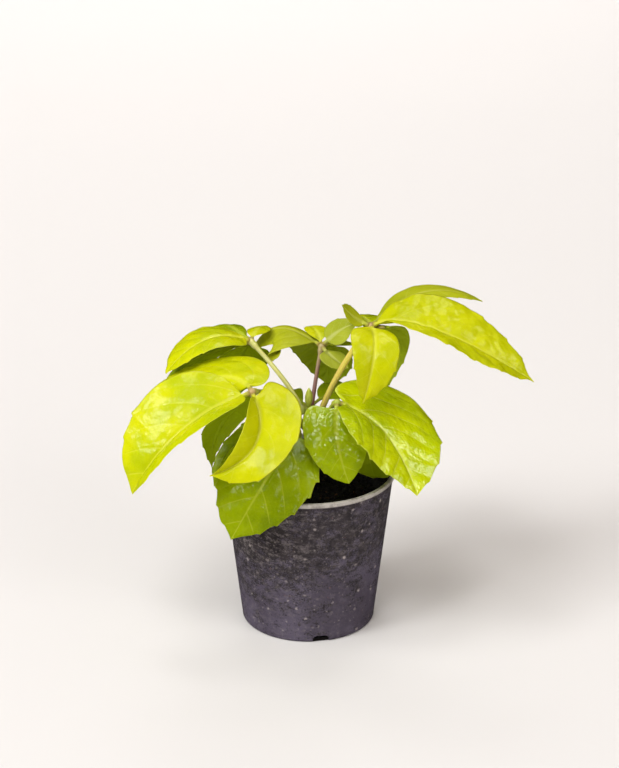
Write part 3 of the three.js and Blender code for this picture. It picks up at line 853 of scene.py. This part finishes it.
def notch(work, turn):
    # an arched block through the wall's foot, drawn at -Y and turned to its place
    w, high = pot["notchWidth"] / 2, pot["notchHeight"]
    shoulder = [
        (w * 0.4 + w * 0.6 * math.cos(a), high * 0.4 + high * 0.6 * math.sin(a))
        for a in np.linspace(0.2, 1.4, 6)
    ]
    arch = [(-w, -1), (w, -1), (w, high * 0.4), *shoulder]
    arch += [(-x, z) for x, z in shoulder[::-1]] + [(-w, high * 0.4)]
    near, far = -(pot["baseRadius"] + 3), -(pot["baseRadius"] - pot["notchReach"])
    front = [work.verts.new((x * mm, near * mm, z * mm)) for x, z in arch]
    rear = [work.verts.new((x * mm, far * mm, z * mm)) for x, z in arch]
    work.faces.new(front)
    work.faces.new(rear[::-1])
    for k in range(len(arch)):
        n = (k + 1) % len(arch)
        work.faces.new((front[k], front[n], rear[n], rear[k]))
    bmesh.ops.rotate(work, verts=work.verts, cent=(0, 0, 0), matrix=Matrix.Rotation(turn, 3, "Z"))


def hole(work, turn):
    ring, radius = pot["holeRing"] * mm, pot["holeRadius"] * mm
    spot = Matrix.Translation((ring * math.cos(turn), ring * math.sin(turn), 0))
    bmesh.ops.create_cone(
        work, cap_ends=True, segments=32, radius1=radius, radius2=radius, depth=8 * mm, matrix=spot)


def cutTool(shape, turn):
    # a shape that is only there to be cut away
    work = bmesh.new()
    shape(work, turn)
    bmesh.ops.recalc_face_normals(work, faces=work.faces)
    mesh = bpy.data.meshes.new("cutter")
    work.to_mesh(mesh)
    work.free()
    tool = bpy.data.objects.new("cutter", mesh)
    bpy.context.scene.collection.objects.link(tool)
    return tool


def settle(thing):
    # modifiers become plain mesh
    graph = bpy.context.evaluated_depsgraph_get()
    mesh = bpy.data.meshes.new_from_object(thing.evaluated_get(graph))
    thing.modifiers.clear()
    old = thing.data
    thing.data = mesh
    bpy.data.meshes.remove(old)


def edges(thing, degrees):
    # faces shade smooth across soft edges only
    work = bmesh.new()
    work.from_mesh(thing.data)
    limit = math.radians(degrees)
    for edge in work.edges:
        edge.smooth = len(edge.link_faces) == 2 and edge.calc_face_angle(0) < limit
    for f in work.faces:
        f.smooth = True
    work.to_mesh(thing.data)
    work.free()


def makePot():
    h, top, corner, lip = pot["height"], pot["rimRadius"], pot["corner"], pot["lipRadius"]
    under = h - pot["lipHeight"]
    inner = top - pot["lipStandOut"] - pot["wall"]
    footRadius = pot["baseRadius"] - corner
    profile = [(0, 0)] + [(r, 0) for r in np.linspace(4, footRadius, 10)]
    profile += rounded(footRadius, corner, corner, -80, 0)
    profile += [(wallRadius(z), z) for z in np.linspace(corner + 1, under, 60)]
    profile += rounded(top - lip, under + lip, lip, -75, 0) + rounded(top - lip, h - lip, lip, 0, 90)
    profile += rounded(inner + 0.5, h - 0.5, 0.5, 90, 180)
    profile += [(wallRadius(z) - pot["wall"], z) for z in np.linspace(h - 1.5, corner + 1, 40)]
    profile += [(r, pot["floor"]) for r in np.linspace(footRadius - pot["wall"] * 0.4, 4, 8)]
    profile += [(0, pot["floor"])]
    thing = turned("pot", profile, pot["sides"], potMaterial())

    turns = [math.radians(pot["firstNotch"] + 360 / pot["notches"] * i) for i in range(pot["notches"])]
    tools = [cutTool(notch, turn) for turn in turns]
    tools += [cutTool(hole, 2 * math.pi * i / pot["holes"]) for i in range(pot["holes"])]
    for tool in tools:
        cut = thing.modifiers.new("cut", "BOOLEAN")
        cut.operation, cut.solver, cut.object = "DIFFERENCE", "EXACT", tool
    settle(thing)
    for tool in tools:
        bpy.data.objects.remove(tool)
    edges(thing, 35)
    hand(thing, slotOf["pot"], "pot")


makePot()
print("pot")

soil = {
    "headspace": 12, "crown": 1.5, "gap": 0.3, "lump": 0.7, "crumbSize": 1.15, "crumbsPerSquareMm": 0.16,
    "barkSize": 2.6, "barkPerSquareMm": 0.012, "crumbsAbove": 80, "seed": 7,
}


def soilMaterial(name, dark, light, share):
    # Moist peat and composted bark: almost black, rough, with a few brown fibres
    material, add = newMaterial(name)
    solid = add("TexCoord").outputs["Object"]
    fibres, lumps = (
        add("TexNoise", {
            "Vector": solid, "Scale": 1 / (size * mm), "Detail": detail, "Roughness": 0.7,
        }) for size, detail in ((2.4, 4), (1.3, 5))
    )
    amount = add("MapRange", (fibres, share, share + 0.14), **soft)
    body = add("BsdfPrincipled", {
        "Base Color": add("Mix", {0: amount, 6: linear(dark), 7: linear(light)}, **colours),
        "Roughness": 0.9, "IOR": 1.4, "Specular IOR Level": 0.3,
        "Normal": add("Bump", {"Height": lumps, "Distance": 0.6 * mm}),
    })
    add("OutputMaterial", (body,))
    return material


def makeSoil():
    top = pot["height"] - soil["headspace"]
    floor = pot["floor"] + soil["gap"]
    clear = pot["wall"] + soil["gap"]
    socket, socketFoot = stem["footRadius"] + soil["gap"], stem["foot"] - soil["gap"]
    edge = wallRadius(top) - clear
    profile = [(0, floor), (pot["baseRadius"] - pot["corner"] - 1, floor)]
    profile += [(wallRadius(z) - clear, z) for z in np.linspace(pot["corner"] + 1.5, top - 0.4, 12)]
    profile += [(r, top + soil["crown"] * min(1.0, (edge - r) / (edge * 0.7)))
                for r in np.linspace(edge - 0.4, socket, 60)]
    profile += [(socket, socketFoot), (0, socketFoot)]
    thing = turned("potting_soil", profile, 200, soilMaterial("moist_peat", "#0A0605", "#1E140E", 0.57))
    for vertex in thing.data.vertices:
        p = vertex.co
        if p.z > (top - 0.2) * mm:
            coarse, fine = noise.noise(p / (5 * mm)), noise.noise(p / (1.7 * mm))
            p.z += mm * soil["lump"] * (coarse + 0.6 * fine)
    hand(thing, slotOf["potting_soil"], "potting_soil")
    return thing


def crumbTree():
    # scatters lumps over the upper side of whatever it is put on
    tree = bpy.data.node_groups.new("scatter_crumbs", "GeometryNodeTree")
    add = partial(addNode, tree)
    kinds = {
        "Geometry": "Geometry", "Density": "Float", "Size": "Float", "Flatness": "Float",
        "Stretch": "Float", "Seed": "Int", "Material": "Material",
    }
    for name, kind in kinds.items():
        tree.interface.new_socket(name, in_out="INPUT", socket_type="NodeSocket" + kind)
    tree.interface.new_socket("Geometry", in_out="OUTPUT", socket_type="NodeSocketGeometry")
    given = add("NodeGroupInput").outputs
    facing = add("SeparateXYZ", (add("GeometryNodeInputNormal"),)).outputs["Z"]
    height = add("SeparateXYZ", (add("GeometryNodeInputPosition"),)).outputs["Z"]
    upward = add("FunctionNodeCompare", (facing, 0.5), operation="GREATER_THAN")
    onTop = add("FunctionNodeCompare", (height, soil["crumbsAbove"] * mm), operation="GREATER_THAN")
    points = add("GeometryNodeDistributePointsOnFaces", {
        "Mesh": given["Geometry"], "Selection": add("FunctionNodeBooleanMath", (upward, onTop)),
        "Density": given["Density"], "Seed": given["Seed"],
    })
    bumps = add("TexNoise", {"Scale": 1.3, "Detail": 2}).outputs["Color"]
    shift = add("VectorMath", (bumps, (0.5, 0.5, 0.5)), operation="SUBTRACT")
    ball = add("GeometryNodeMeshIcoSphere", {"Radius": 1, "Subdivisions": 2})
    lump = add("GeometryNodeSetPosition", {"Geometry": ball, "Offset": shift})
    fullTurn = (6.28, 6.28, 6.28)
    turn = add("FunctionNodeRandomValue", {1: fullTurn, "Seed": given["Seed"]}, data_type="FLOAT_VECTOR")
    spread = add("FunctionNodeRandomValue", {2: 0.35, 3: 1, "Seed": given["Seed"]})
    size = add("Math", (spread, given["Size"]), **times)
    wide = add("Math", (size, given["Stretch"]), **times)
    thin = add("Math", (size, given["Flatness"]), **times)
    copies = add("GeometryNodeInstanceOnPoints", {
        "Points": points, "Instance": lump, "Rotation": turn,
        "Scale": add("CombineXYZ", (wide, size, thin)),
    })
    real = add("GeometryNodeRealizeInstances", (copies,))
    painted = add("GeometryNodeSetMaterial", {"Geometry": real, "Material": given["Material"]})
    add("NodeGroupOutput", (painted,))
    return tree


def scatter(source, name, tree, values, slotName):
    host = bpy.data.objects.new(name, source.data.copy())
    bpy.context.scene.collection.objects.link(host)
    modifier = host.modifiers.new("scatter", "NODES")
    modifier.node_group = tree
    for item in tree.interface.items_tree:
        if item.item_type == "SOCKET" and item.in_out == "INPUT" and item.name in values:
            modifier[item.identifier] = values[item.name]
    settle(host)
    hand(host, slotName)


soilPiece = makeSoil()
crumbs = crumbTree()
scatter(soilPiece, "soil_crumbs", crumbs, {
    "Density": soil["crumbsPerSquareMm"] / mm ** 2, "Size": soil["crumbSize"] * mm, "Flatness": 0.8,
    "Stretch": 1.3, "Seed": soil["seed"], "Material": soilMaterial("peat_crumbs", "#0C0806", "#2E1E14", 0.6),
}, slotOf["potting_soil"])
scatter(soilPiece, "bark_chips", crumbs, {
    "Density": soil["barkPerSquareMm"] / mm ** 2, "Size": soil["barkSize"] * mm, "Flatness": 0.25,
    "Stretch": 0.5, "Seed": soil["seed"] + 1,
    "Material": soilMaterial("composted_bark", "#2A1A10", "#5A3D26", 0.5),
}, slotOf["potting_soil"])
print("soil")

floorReach = 4.0
floorMesh = bpy.data.meshes.new("floor")
corners = [(sx * floorReach, sy * floorReach, 0) for sx, sy in ((-1, -1), (1, -1), (1, 1), (-1, 1))]
floorMesh.from_pydata(corners, [], [(0, 1, 2, 3)])
floor = bpy.data.objects.new("floor", floorMesh)
bpy.context.scene.collection.objects.link(floor)
paper, add = newMaterial("pale_paper")
sheet = add("BsdfPrincipled", {
    "Base Color": linear("#E0DDDB"), "Roughness": 0.9, "Specular IOR Level": 0.1,
})
add("OutputMaterial", (sheet,))
floorMesh.materials.append(paper)
floor.visible_glossy = False


def softbox(name, place, aim, size, power, colour=(1, 1, 1), mirrored=True, lights=True, spreadDeg=180):
    # a lamp that isn't mirrored leaves no gloss, and one that doesn't light leaves only gloss
    lamp = bpy.data.lights.new(name, "AREA")
    lamp.shape, lamp.size, lamp.energy, lamp.color = "SQUARE", size, power, colour
    lamp.spread = math.radians(spreadDeg)
    thing = bpy.data.objects.new(name, lamp)
    thing.visible_glossy, thing.visible_diffuse = mirrored, lights
    thing.location = place
    thing.rotation_euler = (Vector(aim) - Vector(place)).to_track_quat("-Z", "Y").to_euler()
    bpy.context.scene.collection.objects.link(thing)


softbox("key", (-3.1, -2.0, 3.2), (0, 0.3, 0.1), 2.0, 168, (0.97, 0.99, 1.0))
softbox("fill", (2.6, -2.2, 2.0), (0, 0.2, 0.1), 1.3, 28, (1.0, 0.99, 0.99))
softbox("glint", (1.5, -3.0, 1.35), (0, 0, 0.15), 0.7, 10, (1.0, 0.99, 0.98))
softbox("front", (-0.5, -1.9, 3.0), (0, 0, 0.12), 0.9, 32)
softbox("top", (-0.5, -0.2, 3.1), (0, 0, 0.1), 0.6, 10)
softbox("back", (-0.2, 2.6, 2.8), (0, 2.3, 0.0), 1.8, 20, mirrored=False, spreadDeg=90)
softbox("window", (1.6, -0.7, 2.8), (0, 0, 0.12), 1.2, 34, lights=False)
softbox("wall", (0.1, 1.1, 2.9), (0, 0, 0.12), 1.3, 26, lights=False)
world = bpy.data.worlds.new("studio")
world.use_nodes = True
sky = world.node_tree.nodes["Background"].inputs
sky["Color"].default_value = linear("#FFF1E6")
sky["Strength"].default_value = 0.33
world.cycles_visibility.glossy = False
bpy.context.scene.world = world
bpy.context.scene.view_settings.view_transform = "Standard"
print("stage")
